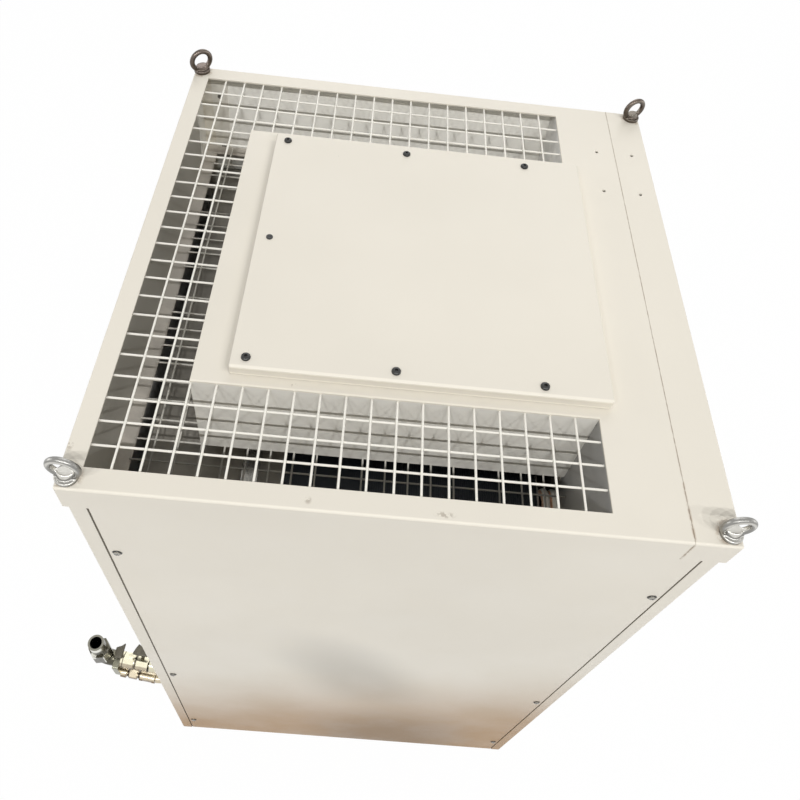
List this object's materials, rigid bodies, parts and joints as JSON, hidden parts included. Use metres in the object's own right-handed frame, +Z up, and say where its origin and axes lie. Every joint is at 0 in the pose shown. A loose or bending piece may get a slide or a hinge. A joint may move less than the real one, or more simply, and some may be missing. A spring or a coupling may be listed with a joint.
{
  "type": "dry cooler",
  "caption": "Free-standing sheet metal dry cooler with a top air outlet behind welded mesh round a raised lid, corner lifting eyes and side pipe fittings.",
  "frame": {"origin": "on the floor, at the middle of the cabinet's footprint", "axes": "+Z up, -Y towards the panel that faces the viewer, -X towards the pipe fittings"},
  "size_m": [0.7686, 0.6218, 1.0545],
  "materials": {
    "coat_white": "semi-gloss powder coat",
    "mesh_white": "powder-coated welded wire",
    "coat_grey": "matt coat in shade",
    "zinc_sheet": "galvanised sheet",
    "zinc_bright": "bright zinc plate",
    "steel_dark": "dark oiled forging",
    "fin_dark": "dark coated fins",
    "copper": "drawn copper tube",
    "nickel": "nickel-plated brass",
    "brass": "pale brass, a little tarnished",
    "handle_dark": "dark moulded wing",
    "rubber_black": "cellular rubber"
  },
  "bodies": {
    "root": {"top_plate": "coat_white", "top_strip": "coat_white", "grille_near": "mesh_white", "grille_far": "mesh_white", "grille_left": "mesh_white", "guard_near": "mesh_white", "guard_far": "mesh_white", "guard_left": "mesh_white", "guard_ledges": "coat_white", "post_near_left": "coat_white", "post_near_right": "coat_white", "post_far_left": "coat_white", "post_far_right": "coat_white", "panel_near": "coat_white", "panel_far": "coat_white", "panel_left": "coat_white", "panel_right": "coat_white", "base_tray": "zinc_sheet", "partition": "coat_grey", "terminal_box": "coat_white", "terminal_lid": "coat_white", "lid_gasket": "rubber_black", "eye_near_left": "zinc_bright", "eye_near_right": "zinc_bright", "eye_far_left": "steel_dark", "eye_far_right": "steel_dark", "coil_fins": "fin_dark", "coil_cheeks": "zinc_sheet", "coil_stand_near": "zinc_sheet", "coil_stand_far": "zinc_sheet", "coil_deck": "coat_grey", "coil_rail": "zinc_bright", "coil_header": "copper", "coil_crossovers": "copper", "upper_nipple": "nickel", "upper_valve": "nickel", "valve_handles": "handle_dark", "link_block": "nickel", "elbow": "nickel", "lower_coupling": "brass", "lower_nipple": "brass", "pipe_grommets": "rubber_black"}
  },
  "joints": []
}
